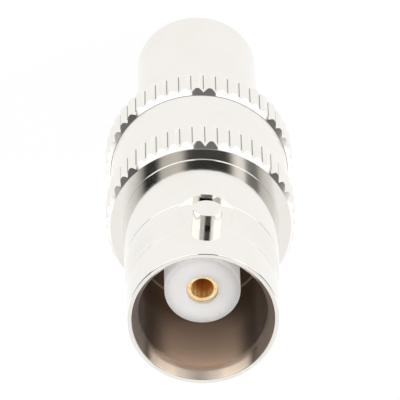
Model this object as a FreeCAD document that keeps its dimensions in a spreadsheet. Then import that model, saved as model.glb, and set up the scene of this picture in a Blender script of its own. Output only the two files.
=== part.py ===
import FreeCAD, Part
import math
import os
import Sketcher

# A one-piece adapter: a BNC jack at the top, an SMA plug at the bottom.
# It stands on the end of its SMA sleeve. The axis is Z, the two lugs point along Y.
# All sizes are millimetres.

DRIVING_SIZES = [
    # Lengths along the axis, from the SMA end up to the mouth of the jack
    ("sleeve_length", 10.95),
    ("rear_band_length", 2.85),
    ("waist_length", 3.8),
    ("front_band_length", 3.1),
    ("shell_reach", 11.1),
    # Jack shell
    ("shell_radius", 4.8),
    ("shell_wall", 0.73),
    ("shell_edge", 0.06),
    ("mouth_chamfer", 0.4),
    ("bore_depth", 8.8),
    ("shell_seat", 4.5),
    ("seat_growth", 0.25),
    ("step_growth", 0.14),
    ("step_height", 0.04),
    ("step_setback", 6.1),
    ("taper_setback", 3.1),
    # Bayonet lugs and the milled pocket round each
    ("lug_radius", 0.95),
    ("lug_height", 0.72),
    ("lug_setback", 4.35),
    ("pocket_depth", 0.2),
    ("pocket_radius", 1.95),
    ("pocket_setback", 4.95),
    ("pocket_front_setback", 1.0),
    # Knurled body
    ("shoulder_height", 1.33),
    ("waist_depth", 0.33),
    ("face_chamfer_depth", 0.27),
    ("face_chamfer_run", 0.55),
    ("band_chamfer_run", 0.45),
    ("groove_count", 46),
    ("groove_depth", 0.19),
    ("groove_half_width", 0.29),
    ("groove_turn", 0.8),
    # SMA sleeve and its thread, bored at the major diameter
    ("thread_radius", 3.175),
    ("thread_depth", 5.7),
    ("thread_lead_in", 0.25),
    ("sleeve_wall", 0.825),
    ("sleeve_edge", 0.15),
    # SMA ferrule, whose face is the plug's reference plane
    ("reference_recess", 3.43),
    ("ferrule_wall", 0.245),
    ("ferrule_collar", 0.3),
    ("ferrule_seat", 4.0),
    # Insulators
    ("sma_dielectric_radius", 2.05),
    ("bnc_dielectric_radius", 2.41),
    ("dielectric_recess", 3.4),
    ("flange_height", 0.8),
    ("flange_length", 2.5),
    # Centre contact: a slotted socket with the pin pressed into its rear
    ("contact_radius", 1.0),
    ("contact_recess", 3.65),
    ("contact_bore", 0.69),
    ("contact_bore_depth", 5.5),
    ("contact_lead_in", 0.05),
    ("slot_width", 0.08),
    ("slot_depth", 4.0),
    ("collar_height", 0.5),
    ("collar_length", 1.2),
    ("pin_radius", 0.46),
    ("pin_reach", 2.4),
    ("pin_point", 0.25),
    ("pin_press", 2.5),
    ("pin_core_radius", 0.635),
]

# Places that several pieces share, as formulas over the driving sizes
BODY_FRONT = "(Sizes.sleeve_length + Sizes.rear_band_length + Sizes.waist_length + Sizes.front_band_length)"
MOUTH = f"({BODY_FRONT} + Sizes.shell_reach)"
BODY_REAR = "Sizes.sleeve_length"
REAR_BAND_FRONT = "(Sizes.sleeve_length + Sizes.rear_band_length)"
FRONT_BAND_REAR = "(Sizes.sleeve_length + Sizes.rear_band_length + Sizes.waist_length)"
SHELL_REAR = f"({BODY_FRONT} - Sizes.shell_seat)"
FLANGE_FRONT = f"({SHELL_REAR} + Sizes.flange_length)"
LUG_CENTRE = f"({MOUTH} - Sizes.lug_setback)"
POCKET_CENTRE = f"({MOUTH} - Sizes.pocket_setback)"
POCKET_FRONT = f"({MOUTH} - Sizes.pocket_front_setback)"
STEP_PLACE = f"({MOUTH} - Sizes.step_setback)"
TAPER_END = f"({MOUTH} - Sizes.taper_setback)"
FERRULE_REAR = "(Sizes.thread_depth + Sizes.ferrule_seat)"
CONTACT_FRONT = f"({MOUTH} - Sizes.contact_recess)"
PIN_TIP = "(Sizes.reference_recess - Sizes.pin_reach)"

KNURL_RADIUS = "(Sizes.shell_radius + Sizes.shoulder_height)"
WAIST_RADIUS = f"({KNURL_RADIUS} - Sizes.waist_depth)"
FACE_RADIUS = f"({KNURL_RADIUS} - Sizes.face_chamfer_depth)"
GROOVE_FLOOR = f"({KNURL_RADIUS} - Sizes.groove_depth)"
SLEEVE_RADIUS = "(Sizes.thread_radius + Sizes.sleeve_wall)"
SHELL_BORE = "(Sizes.shell_radius - Sizes.shell_wall)"
SEAT_RADIUS = "(Sizes.shell_radius + Sizes.seat_growth)"
STEP_RADIUS = "(Sizes.shell_radius + Sizes.step_growth)"
FERRULE_NOSE = "(Sizes.sma_dielectric_radius + Sizes.ferrule_wall)"
FERRULE_COLLAR = f"({FERRULE_NOSE} + Sizes.ferrule_collar)"
FLANGE_RADIUS = "(Sizes.bnc_dielectric_radius + Sizes.flange_height)"
COLLAR_RADIUS = "(Sizes.contact_radius + Sizes.collar_height)"

ON_AXIS = "0"
ORIGIN_POINT = (-1, 1)
HORIZONTAL_AXIS = -1
VERTICAL_AXIS = -2
POINT = {"start": 1, "end": 2, "centre": 3}

doc = FreeCAD.newDocument("adapter")
sheet = doc.addObject("Spreadsheet::Sheet", "Sizes")
for row, (alias, size) in enumerate(DRIVING_SIZES, start=1):
    sheet.set(f"A{row}", alias.replace("_", " "))
    sheet.set(f"B{row}", str(size))
    sheet.setAlias(f"B{row}", alias)
doc.recompute()


def value(formula):
    return float(sheet.evalExpression(formula))


def new_body(name):
    body = doc.addObject("PartDesign::Body", name)
    body.Label = name
    return body


def origin_feature(body, role):
    return next(item for item in body.Origin.OriginFeatures if item.Role == role)


def sketch_on(body, name, role, height=None):
    sketch = body.newObject("Sketcher::SketchObject", name)
    sketch.AttachmentSupport = [(origin_feature(body, role), "")]
    sketch.MapMode = "FlatFace"
    if height:
        sketch.setExpression("AttachmentOffset.Base.z", height)
    return sketch


def place_point(sketch, item, end, across, up):
    """Tie one point of a sketch to two formulas, or to an axis where the formula is zero."""
    for kind, formula, axis in (("DistanceX", across, VERTICAL_AXIS), ("DistanceY", up, HORIZONTAL_AXIS)):
        if formula == ON_AXIS:
            sketch.addConstraint(Sketcher.Constraint("PointOnObject", item, end, axis))
            continue
        rule = Sketcher.Constraint(kind, *ORIGIN_POINT, item, end, value(formula))
        number = sketch.addConstraint(rule)
        sketch.setExpression(f"Constraints[{number}]", formula)


def draw_outline(sketch, corners):
    """Draw a closed outline of straight lines through corners given as formulas."""
    places = [FreeCAD.Vector(value(across), value(up), 0) for across, up in corners]
    first = sketch.GeometryCount
    for number, place in enumerate(places):
        sketch.addGeometry(Part.LineSegment(place, places[(number + 1) % len(places)]), False)
    for number, (across, up) in enumerate(corners):
        line = first + number
        following = first + (number + 1) % len(places)
        sketch.addConstraint(Sketcher.Constraint("Coincident", line, POINT["end"], following, POINT["start"]))
        place_point(sketch, line, POINT["start"], across, up)


def draw_circle(sketch, up, radius):
    centre = FreeCAD.Vector(0, value(up), 0)
    circle = sketch.addGeometry(Part.Circle(centre, FreeCAD.Vector(0, 0, 1), value(radius)), False)
    place_point(sketch, circle, POINT["centre"], ON_AXIS, up)
    number = sketch.addConstraint(Sketcher.Constraint("Radius", circle, value(radius)))
    sketch.setExpression(f"Constraints[{number}]", radius)


def draw_round_rear(sketch, radius, centre, front):
    """Draw an outline that is a half circle at its rear and square at its front."""
    corners = [(f"-1 * {radius}", centre), (f"-1 * {radius}", front), (radius, front), (radius, centre)]
    places = [FreeCAD.Vector(value(across), value(up), 0) for across, up in corners]
    sides = [
        sketch.addGeometry(Part.LineSegment(start, end), False)
        for start, end in zip(places, places[1:])
    ]
    middle = FreeCAD.Vector(0, value(centre), 0)
    circle = Part.Circle(middle, FreeCAD.Vector(0, 0, 1), value(radius))
    arc = sketch.addGeometry(Part.ArcOfCircle(circle, math.pi, 2 * math.pi), False)
    for before, after in zip(sides, sides[1:]):
        sketch.addConstraint(Sketcher.Constraint("Coincident", before, POINT["end"], after, POINT["start"]))
    sketch.addConstraint(Sketcher.Constraint("Coincident", arc, POINT["start"], sides[0], POINT["start"]))
    sketch.addConstraint(Sketcher.Constraint("Coincident", arc, POINT["end"], sides[-1], POINT["end"]))
    for side, (across, up) in zip(sides, corners):
        place_point(sketch, side, POINT["start"], across, up)
    place_point(sketch, sides[-1], POINT["end"], *corners[-1])
    rule = Sketcher.Constraint("DistanceY", *ORIGIN_POINT, arc, POINT["centre"], value(centre))
    number = sketch.addConstraint(rule)
    sketch.setExpression(f"Constraints[{number}]", centre)


def turn(body, name, corners):
    """Turn a profile, given as radius and height, about the axis."""
    sketch = sketch_on(body, f"{name}_profile", "XZ_Plane")
    draw_outline(sketch, corners)
    turned = body.newObject("PartDesign::Revolution", f"{name}_turned")
    turned.Profile = sketch
    turned.ReferenceAxis = (sketch, ["V_Axis"])
    turned.Angle = 360
    body.Tip = turned
    doc.recompute()
    return turned


def bore(body, name, corners):
    """Cut a turned profile, given as radius and height, out of a body."""
    sketch = sketch_on(body, f"{name}_profile", "XZ_Plane")
    draw_outline(sketch, corners)
    cut = body.newObject("PartDesign::Groove", f"{name}_cut")
    cut.Profile = sketch
    cut.ReferenceAxis = (sketch, ["V_Axis"])
    cut.Angle = 360
    body.Tip = cut
    doc.recompute()
    return cut


def repeat_round_axis(body, feature, count, angle):
    """Repeat a cut round the Z axis. The count is a number or a formula."""
    pattern = body.newObject("PartDesign::PolarPattern", f"{feature.Name}_pattern")
    pattern.Originals = [feature]
    pattern.Axis = (origin_feature(body, "Z_Axis"), [""])
    pattern.Angle = angle
    if isinstance(count, str):
        pattern.setExpression("Occurrences", count)
    else:
        pattern.Occurrences = count
    body.Tip = pattern
    doc.recompute()
    return pattern


# Jack shell: a tube that grows slightly to the rear, with two bayonet lugs in shallow milled pockets
def make_shell():
    body = new_body("bnc_shell")
    edge_radius = "Sizes.shell_radius - Sizes.shell_edge"
    turn(body, "shell", [
        (ON_AXIS, SHELL_REAR),
        (SEAT_RADIUS, SHELL_REAR),
        (SEAT_RADIUS, BODY_FRONT),
        (STEP_RADIUS, STEP_PLACE),
        (f"{STEP_RADIUS} - Sizes.step_height", f"{STEP_PLACE} + Sizes.step_height"),
        ("Sizes.shell_radius", TAPER_END),
        ("Sizes.shell_radius", f"{MOUTH} - Sizes.shell_edge"),
        (edge_radius, MOUTH),
        (ON_AXIS, MOUTH),
    ])
    lug_sketch = sketch_on(body, "lug_outline", "XZ_Plane")
    draw_circle(lug_sketch, LUG_CENTRE, "Sizes.lug_radius")
    lugs = body.newObject("PartDesign::Pad", "lugs")
    lugs.Profile = lug_sketch
    lugs.SideType = "Symmetric"
    lugs.setExpression("Length", "2 * (Sizes.shell_radius + Sizes.lug_height)")
    body.Tip = lugs
    doc.recompute()
    mill_lug_pockets(body)
    bore(body, "shell_bore", [
        (ON_AXIS, SHELL_REAR),
        (FLANGE_RADIUS, SHELL_REAR),
        (FLANGE_RADIUS, FLANGE_FRONT),
        ("Sizes.bnc_dielectric_radius", FLANGE_FRONT),
        ("Sizes.bnc_dielectric_radius", f"{MOUTH} - Sizes.bore_depth"),
        (SHELL_BORE, f"{MOUTH} - Sizes.bore_depth"),
        (SHELL_BORE, f"{MOUTH} - Sizes.mouth_chamfer"),
        (f"{SHELL_BORE} + Sizes.mouth_chamfer", MOUTH),
        (ON_AXIS, MOUTH),
    ])
    return body


def mill_lug_pockets(body):
    """Mill a flat pocket about each lug, round at its rear, and leave the lug standing."""
    sketch = sketch_on(body, "pocket_outline", "XZ_Plane", "Sizes.shell_radius - Sizes.pocket_depth")
    draw_round_rear(sketch, "Sizes.pocket_radius", POCKET_CENTRE, POCKET_FRONT)
    draw_circle(sketch, LUG_CENTRE, "Sizes.lug_radius")
    pocket = body.newObject("PartDesign::Pocket", "lug_pocket")
    pocket.Profile = sketch
    pocket.Reversed = True
    pocket.setExpression("Length", "Sizes.pocket_depth + Sizes.lug_height")
    body.Tip = pocket
    doc.recompute()
    repeat_round_axis(body, pocket, 2, 360)


# Knurled body: two straight-knurled bands, a smooth waist and the SMA sleeve, turned from one bar
def make_knurled_body():
    body = new_body("knurled_body")
    turn(body, "body", [
        (ON_AXIS, ON_AXIS),
        (f"{SLEEVE_RADIUS} - Sizes.sleeve_edge", ON_AXIS),
        (SLEEVE_RADIUS, "Sizes.sleeve_edge"),
        (SLEEVE_RADIUS, BODY_REAR),
        (WAIST_RADIUS, BODY_REAR),
        (KNURL_RADIUS, f"{BODY_REAR} + Sizes.band_chamfer_run"),
        (KNURL_RADIUS, f"{REAR_BAND_FRONT} - Sizes.band_chamfer_run"),
        (WAIST_RADIUS, REAR_BAND_FRONT),
        (WAIST_RADIUS, FRONT_BAND_REAR),
        (KNURL_RADIUS, f"{FRONT_BAND_REAR} + Sizes.band_chamfer_run"),
        (KNURL_RADIUS, f"{BODY_FRONT} - Sizes.face_chamfer_run"),
        (FACE_RADIUS, BODY_FRONT),
        (ON_AXIS, BODY_FRONT),
    ])
    bore(body, "body_bore", [
        (ON_AXIS, ON_AXIS),
        ("Sizes.thread_radius + Sizes.thread_lead_in", ON_AXIS),
        ("Sizes.thread_radius", "Sizes.thread_lead_in"),
        ("Sizes.thread_radius", "Sizes.thread_depth"),
        (FERRULE_COLLAR, "Sizes.thread_depth"),
        (FERRULE_COLLAR, FERRULE_REAR),
        ("Sizes.sma_dielectric_radius", FERRULE_REAR),
        ("Sizes.sma_dielectric_radius", SHELL_REAR),
        (SEAT_RADIUS, SHELL_REAR),
        (SEAT_RADIUS, BODY_FRONT),
        (ON_AXIS, BODY_FRONT),
    ])
    cut_knurl(body)
    body.setExpression("Placement.Rotation.Angle", "Sizes.groove_turn")
    return body


def cut_knurl(body):
    """Cut the straight V grooves, which run through both bands in one pass."""
    groove_top = f"({KNURL_RADIUS} + Sizes.groove_depth)"
    half_width = "(2 * Sizes.groove_half_width)"
    sketch = sketch_on(body, "groove_outline", "XY_Plane", BODY_REAR)
    draw_outline(sketch, [
        (ON_AXIS, GROOVE_FLOOR),
        (half_width, groove_top),
        (f"-1 * {half_width}", groove_top),
    ])
    groove = body.newObject("PartDesign::Pocket", "knurl_groove")
    groove.Profile = sketch
    groove.Reversed = True
    groove.setExpression("Length", f"{BODY_FRONT} - {BODY_REAR}")
    body.Tip = groove
    doc.recompute()
    repeat_round_axis(body, groove, "Sizes.groove_count", 360)


# Jack insulator: its flange is trapped between the shell and the body
def make_bnc_insulator():
    body = new_body("bnc_insulator")
    turn(body, "bnc_insulator", [
        (COLLAR_RADIUS, SHELL_REAR),
        (FLANGE_RADIUS, SHELL_REAR),
        (FLANGE_RADIUS, FLANGE_FRONT),
        ("Sizes.bnc_dielectric_radius", FLANGE_FRONT),
        ("Sizes.bnc_dielectric_radius", f"{MOUTH} - Sizes.dielectric_recess"),
        ("Sizes.contact_radius", f"{MOUTH} - Sizes.dielectric_recess"),
        ("Sizes.contact_radius", f"{SHELL_REAR} + Sizes.collar_length"),
        (COLLAR_RADIUS, f"{SHELL_REAR} + Sizes.collar_length"),
    ])
    return body


# Centre socket: four spring fingers at the front, a collar and a press hole at the rear
def make_contact_socket():
    body = new_body("contact_socket")
    turn(body, "socket", [
        ("Sizes.pin_radius", SHELL_REAR),
        (COLLAR_RADIUS, SHELL_REAR),
        (COLLAR_RADIUS, f"{SHELL_REAR} + Sizes.collar_length"),
        ("Sizes.contact_radius", f"{SHELL_REAR} + Sizes.collar_length"),
        ("Sizes.contact_radius", CONTACT_FRONT),
        ("Sizes.contact_bore + Sizes.contact_lead_in", CONTACT_FRONT),
        ("Sizes.contact_bore", f"{CONTACT_FRONT} - Sizes.contact_lead_in"),
        ("Sizes.contact_bore", f"{CONTACT_FRONT} - Sizes.contact_bore_depth"),
        (ON_AXIS, f"{CONTACT_FRONT} - Sizes.contact_bore_depth"),
        (ON_AXIS, f"{SHELL_REAR} + Sizes.pin_press"),
        ("Sizes.pin_radius", f"{SHELL_REAR} + Sizes.pin_press"),
    ])
    sketch = sketch_on(body, "slot_outline", "XZ_Plane")
    half_width = "Sizes.slot_width / 2"
    draw_outline(sketch, [
        (half_width, f"{CONTACT_FRONT} - Sizes.slot_depth"),
        (half_width, CONTACT_FRONT),
        (f"-1 * {half_width}", CONTACT_FRONT),
        (f"-1 * {half_width}", f"{CONTACT_FRONT} - Sizes.slot_depth"),
    ])
    slot = body.newObject("PartDesign::Pocket", "contact_slot")
    slot.Profile = sketch
    slot.SideType = "Symmetric"
    slot.setExpression("Length", "2 * Sizes.contact_radius")
    body.Tip = slot
    doc.recompute()
    repeat_round_axis(body, slot, 2, 90)
    return body


# Centre pin of the SMA plug, pressed into the rear of the socket
def make_contact_pin():
    body = new_body("contact_pin")
    turn(body, "pin", [
        (ON_AXIS, PIN_TIP),
        ("Sizes.pin_radius - Sizes.pin_point", PIN_TIP),
        ("Sizes.pin_radius", f"{PIN_TIP} + Sizes.pin_point"),
        ("Sizes.pin_radius", "Sizes.reference_recess"),
        ("Sizes.pin_core_radius", "Sizes.reference_recess"),
        ("Sizes.pin_core_radius", SHELL_REAR),
        ("Sizes.pin_radius", SHELL_REAR),
        ("Sizes.pin_radius", f"{SHELL_REAR} + Sizes.pin_press"),
        (ON_AXIS, f"{SHELL_REAR} + Sizes.pin_press"),
    ])
    return body


# SMA insulator: flush with the ferrule's face, seated against the jack's insulator
def make_sma_insulator():
    body = new_body("sma_insulator")
    turn(body, "sma_insulator", [
        ("Sizes.pin_core_radius", "Sizes.reference_recess"),
        ("Sizes.sma_dielectric_radius", "Sizes.reference_recess"),
        ("Sizes.sma_dielectric_radius", SHELL_REAR),
        ("Sizes.pin_core_radius", SHELL_REAR),
    ])
    return body


# SMA ferrule: the plug's outer contact, pressed into the body behind the thread
def make_sma_ferrule():
    body = new_body("sma_ferrule")
    turn(body, "ferrule", [
        ("Sizes.sma_dielectric_radius", "Sizes.reference_recess"),
        (FERRULE_NOSE, "Sizes.reference_recess"),
        (FERRULE_NOSE, "Sizes.thread_depth"),
        (FERRULE_COLLAR, "Sizes.thread_depth"),
        (FERRULE_COLLAR, FERRULE_REAR),
        ("Sizes.sma_dielectric_radius", FERRULE_REAR),
    ])
    return body


pieces = [
    make_shell(),
    make_knurled_body(),
    make_bnc_insulator(),
    make_contact_socket(),
    make_contact_pin(),
    make_sma_insulator(),
    make_sma_ferrule(),
]
doc.recompute()

for item in doc.Objects:
    if "Invalid" in item.State or "Error" in item.State:
        raise RuntimeError(f"{item.Label} failed: {item.State}")
for piece in pieces:
    if piece.Shape.isNull() or not piece.Shape.isValid() or len(piece.Shape.Solids) != 1:
        raise RuntimeError(f"{piece.Label} has no single valid solid")

os.makedirs("parts", exist_ok=True)
for piece in pieces:
    piece.Shape.exportStep(f"parts/{piece.Label}.step")
    print(f"{piece.Label}: {piece.Shape.Volume:.3f} mm3")
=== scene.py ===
# %% [markdown]
# A straight coaxial adapter in bright nickel plate: a BNC jack, a knurled body and an SMA sleeve.
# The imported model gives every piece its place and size. This lesson makes the shapes again with
# the small edges that a polished part needs, because a mirror finish shows its edges first.

import math

import bpy
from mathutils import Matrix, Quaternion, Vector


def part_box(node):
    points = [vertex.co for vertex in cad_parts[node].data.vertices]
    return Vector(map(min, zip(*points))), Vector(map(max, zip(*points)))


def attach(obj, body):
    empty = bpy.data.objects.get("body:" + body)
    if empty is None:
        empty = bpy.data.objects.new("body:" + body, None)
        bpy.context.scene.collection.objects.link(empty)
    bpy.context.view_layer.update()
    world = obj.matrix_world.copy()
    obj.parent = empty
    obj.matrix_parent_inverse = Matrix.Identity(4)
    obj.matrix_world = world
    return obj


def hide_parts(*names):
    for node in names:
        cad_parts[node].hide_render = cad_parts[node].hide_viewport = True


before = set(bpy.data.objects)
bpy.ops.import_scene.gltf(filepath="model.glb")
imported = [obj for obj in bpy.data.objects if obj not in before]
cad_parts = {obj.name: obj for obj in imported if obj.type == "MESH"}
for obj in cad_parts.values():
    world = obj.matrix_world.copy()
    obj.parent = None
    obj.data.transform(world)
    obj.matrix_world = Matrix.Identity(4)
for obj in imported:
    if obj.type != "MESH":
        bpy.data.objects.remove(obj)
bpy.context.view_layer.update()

# %% [markdown]
# A part this small is easier to model in millimetres, because bevels and merges then work with
# plain numbers. Each piece is drawn at 1 unit to the millimetre and shrunk to metres when it is
# finished. The outer sizes come from the boxes of the frame's own pieces.

# %% Sizes from the frame
MM = 0.001


def corners_of(node):
    low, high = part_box(node)
    return [value / MM for value in low], [value / MM for value in high]


shell_low, shell_high = corners_of("bnc_shell")
_, body_high = corners_of("knurled_body")
_, dielectric_high = corners_of("bnc_insulator")
_, socket_high = corners_of("contact_socket")
pin_low, pin_high = corners_of("contact_pin")
ferrule_low, ferrule_high = corners_of("sma_ferrule")
_, sleeve_dielectric_high = corners_of("sma_insulator")

mouth = shell_high[2]
shell_rear = shell_low[2]
rear_radius = shell_high[0]
front_taper = 0.25
shell_radius = rear_radius - front_taper
lug_reach = shell_high[1]
body_front = body_high[2]
knurl_radius = body_high[0]
print("mouth", mouth, "shell", shell_radius, "lugs", lug_reach, "body", body_front)

# %% [markdown]
# The photograph looks down at the mouth with a long lens, and the adapter hangs head down in it.
# Here it stands on its SMA end, so the camera looks down at the same angle and is rolled over.

# %% Camera
view_azimuth = 4.9
view_elevation = 58.85
view_roll = 178.41
camera_distance = 313.0
aim = (0.547, -6.38, 27.93)
lens = 450.0


def camera_direction(azimuth, elevation):
    around, above = math.radians(azimuth), math.radians(elevation)
    return (
        math.sin(around) * math.cos(above),
        -math.cos(around) * math.cos(above),
        math.sin(above),
    )


towards_camera = camera_direction(view_azimuth, view_elevation)
place = [(aim[i] + towards_camera[i] * camera_distance) * MM for i in range(3)]
bpy.ops.object.camera_add(location=place)
camera = bpy.context.object
camera.name = "photo_camera"
camera.rotation_euler = (
    math.radians(90 - view_elevation),
    0,
    math.radians(view_azimuth),
)
camera.data.lens = lens
camera.data.sensor_width = 36.0
camera.data.clip_start = 0.01
camera.data.clip_end = 10.0
camera.rotation_mode = "QUATERNION"
roll = Quaternion((0, 0, 1), math.radians(view_roll))
camera.rotation_quaternion = camera.rotation_quaternion @ roll
bpy.context.scene.camera = camera

# %% [markdown]
# Helpers for modelling by hand. An operator acts on all that is selected, so each helper first
# lets go of everything. A turned piece starts as one point, which is extruded along its profile,
# rounded at its corners and spun about the axis, as a lathe would make it.

# %% Modelling helpers
SAME_PLACE = 1e-4


def start_piece(name):
    piece = bpy.context.object
    piece.name = name
    piece.data.name = name
    return piece


def pick_vertices(piece, chosen):
    """Select, in edit mode, the vertices that a test on their place accepts."""
    bpy.ops.object.mode_set(mode="EDIT")
    bpy.ops.mesh.select_mode(type="VERT")
    bpy.ops.mesh.select_all(action="DESELECT")
    bpy.ops.object.mode_set(mode="OBJECT")
    for vertex in piece.data.vertices:
        vertex.select = chosen(vertex.co)
    bpy.ops.object.mode_set(mode="EDIT")


def draw_profile(name, corners):
    """Draw a closed profile. Each corner is a radius, a height and the size of its rounding."""
    bpy.ops.object.select_all(action="DESELECT")
    bpy.ops.mesh.primitive_plane_add(size=1)
    piece = start_piece(name)
    bpy.ops.object.mode_set(mode="EDIT")
    bpy.ops.mesh.select_all(action="SELECT")
    bpy.ops.mesh.merge(type="CENTER")
    bpy.ops.transform.translate(value=(corners[0][0], 0, corners[0][1]))
    for here, there in zip(corners, corners[1:]):
        step = (there[0] - here[0], 0, there[1] - here[1])
        bpy.ops.mesh.extrude_vertices_move(TRANSFORM_OT_translate={"value": step})
    bpy.ops.mesh.select_all(action="SELECT")
    bpy.ops.mesh.edge_face_add()
    for size in sorted({corner[2] for corner in corners if corner[2] > 0}):
        wanted = [corner for corner in corners if corner[2] == size]
        pick_vertices(piece, lambda co: any(
            math.hypot(co.x - r, co.z - z) < SAME_PLACE for r, z, _ in wanted))
        bpy.ops.mesh.bevel(offset=size, segments=4, affect="VERTICES")
    bpy.ops.mesh.select_all(action="SELECT")
    bpy.ops.mesh.delete(type="ONLY_FACE")
    return piece


def spin_profile(piece, steps):
    """Spin the drawn profile into a closed turned solid."""
    bpy.ops.mesh.select_all(action="SELECT")
    bpy.ops.mesh.spin(steps=steps, angle=math.tau, center=(0, 0, 0), axis=(0, 0, 1))
    bpy.ops.mesh.select_all(action="SELECT")
    bpy.ops.mesh.remove_doubles(threshold=SAME_PLACE)
    bpy.ops.mesh.delete_loose()
    bpy.ops.mesh.select_all(action="SELECT")
    bpy.ops.mesh.normals_make_consistent(inside=False)
    bpy.ops.object.mode_set(mode="OBJECT")


def turn_piece(name, corners, steps):
    piece = draw_profile(name, corners)
    spin_profile(piece, steps)
    return piece


def only(piece):
    bpy.ops.object.select_all(action="DESELECT")
    piece.select_set(True)
    bpy.context.view_layer.objects.active = piece


def combine(piece, tool, operation):
    """Cut a tool out of a piece, or join it on, and throw the tool away."""
    only(piece)
    bpy.ops.object.modifier_add(type="BOOLEAN")
    change = piece.modifiers[-1]
    change.operation = operation
    change.solver = "EXACT"
    change.object = tool
    bpy.ops.object.modifier_apply(modifier=change.name)
    bpy.data.objects.remove(tool)


def soften_edges(piece, width, segments, sharper_than):
    only(piece)
    bpy.ops.object.modifier_add(type="BEVEL")
    edge = piece.modifiers[-1]
    edge.width = width
    edge.segments = segments
    edge.limit_method = "ANGLE"
    edge.angle_limit = math.radians(sharper_than)
    edge.use_clamp_overlap = True
    edge.harden_normals = False
    bpy.ops.object.modifier_apply(modifier=edge.name)


def finish_piece(piece, smooth_below=30.0):
    """Smooth a finished piece, with its large faces kept flat to their edges, and shrink it."""
    only(piece)
    bpy.ops.object.shade_smooth_by_angle(angle=math.radians(smooth_below))
    bpy.ops.object.modifier_add(type="WEIGHTED_NORMAL")
    weighting = piece.modifiers[-1]
    weighting.weight = 100
    weighting.keep_sharp = True
    bpy.ops.object.modifier_apply(modifier=weighting.name)
    piece.scale = (MM, MM, MM)
    bpy.ops.object.transform_apply(location=True, rotation=True, scale=True)
    piece.data.calc_loop_triangles()
    print(piece.name, len(piece.data.loop_triangles), "triangles")
    return piece


# %% [markdown]
# The jack's shell is a tube with a thin rounded rim, a small lead-in inside its mouth and a fine
# step round it where the turning tool changed. A plain cylinder with cuts could make it, but a spun
# profile gives every corner its own rounding, and a mirror finish shows each one of them.

# %% Jack shell
bore_floor = mouth - 8.8
flange_radius = dielectric_high[0]
flange_front = shell_rear + 2.5
dielectric_radius = 2.41
shell_bore = 4.07
lead_in = 0.45
lead_in_run = 0.72
step_radius = shell_radius + 0.14
step_place = mouth - 6.1
step_height = 0.01
taper_end = mouth - 3.1
relief = 0.004
junction_fillet = 0.06
fillet_middle = junction_fillet * 0.3
fillet_foot = 0.02
fillet_lip = 0.01
behind_pocket = mouth - 7.3
before_pocket = mouth - 0.8
rear_taper = (rear_radius - step_radius) / (step_place - body_front)

shell = turn_piece("jack_shell", [
    (rear_radius, shell_rear, 0),
    (rear_radius, body_front - fillet_foot, 0),
    (rear_radius + junction_fillet, body_front - fillet_foot, 0),
    (rear_radius + junction_fillet, body_front + fillet_lip, 0),
    (rear_radius + fillet_middle, body_front + fillet_middle, 0),
    (rear_radius, body_front + junction_fillet, 0),
    (step_radius + rear_taper * (step_place - behind_pocket), behind_pocket, 0),
    (step_radius, step_place, 0.02),
    (step_radius - step_height, step_place + step_height, 0.02),
    (shell_radius, taper_end, 0),
    (shell_radius - relief, taper_end + relief, 0),
    (shell_radius - relief, before_pocket, 0),
    (shell_radius - relief, mouth, 0.06),
    (shell_bore + lead_in, mouth, 0.05),
    (shell_bore, mouth - lead_in_run, 0.3),
    (shell_bore, bore_floor, 0.15),
    (dielectric_radius, bore_floor, 0.05),
    (dielectric_radius, flange_front, 0),
    (flange_radius, flange_front, 0),
    (flange_radius, shell_rear, 0),
], steps=256)

# %% [markdown]
# Each bayonet lug is a short round peg that stands in a flat milled pocket. The pocket is round at
# its rear, where the milling cutter stopped, and straight towards the mouth. So a round cutter has
# its front half pulled straight before it is cut out of the shell, and the peg is joined on after.

# %% Lugs and pockets
lug_radius = 0.95
lug_height = mouth - 4.35
pocket_radius = 1.95
pocket_centre = mouth - 4.95
pocket_front = mouth - 1.0
pocket_floor = shell_radius - 0.2
LUG_LENGTH = 1.3
POCKET_REACH = 2.0


def make_peg(name, radius, length, edge):
    """Make a round peg centred at zero, with a small rounding round its upper end, its outer end once laid.
    """
    bpy.ops.object.select_all(action="DESELECT")
    bpy.ops.mesh.primitive_cylinder_add(vertices=96, radius=radius, depth=length)
    peg = start_piece(name)
    if edge:
        pick_vertices(peg, lambda co: co.z > 0)
        bpy.ops.mesh.bevel(offset=edge, segments=5, affect="EDGES")
        bpy.ops.object.mode_set(mode="OBJECT")
    return peg


def point_outwards(peg, side, middle, height):
    """Lay an upright peg along Y on one side of the axis."""
    only(peg)
    peg.rotation_euler = (math.radians(-90 * side), 0, 0)
    peg.location = (0, side * middle, height)
    bpy.ops.object.transform_apply(location=True, rotation=True, scale=True)


for side in (-1, 1):
    pocket = make_peg("pocket_cutter", pocket_radius, POCKET_REACH, 0)
    point_outwards(pocket, side, pocket_floor + POCKET_REACH / 2, pocket_centre)
    pick_vertices(pocket, lambda co: co.z > pocket_centre + SAME_PLACE)
    bpy.ops.transform.resize(value=(1, 1, 0), center_override=(0, 0, pocket_front))
    bpy.ops.object.mode_set(mode="OBJECT")
    combine(shell, pocket, "DIFFERENCE")
    lug = make_peg("lug", lug_radius, LUG_LENGTH, 0.02)
    point_outwards(lug, side, lug_reach - LUG_LENGTH / 2, lug_height)
    combine(shell, lug, "UNION")
finish_piece(shell)

# %% [markdown]
# The body has two raised bands with a smooth waist between them, and runs on as the round SMA
# sleeve. It is one turned piece, so it is spun from one profile, inside and outside together.

# %% Knurled body
body_rear = 10.95
rear_band_front = body_rear + 2.85
front_band_rear = rear_band_front + 3.8
waist_radius = knurl_radius - 0.33
face_radius = knurl_radius - 0.27
face_run = 0.55
band_run = 0.45
thread_radius = 3.175
thread_depth = 5.7
sleeve_radius = 4.0
ferrule_collar = ferrule_high[0]
ferrule_rear = ferrule_high[2]
passage_radius = sleeve_dielectric_high[0]

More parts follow.
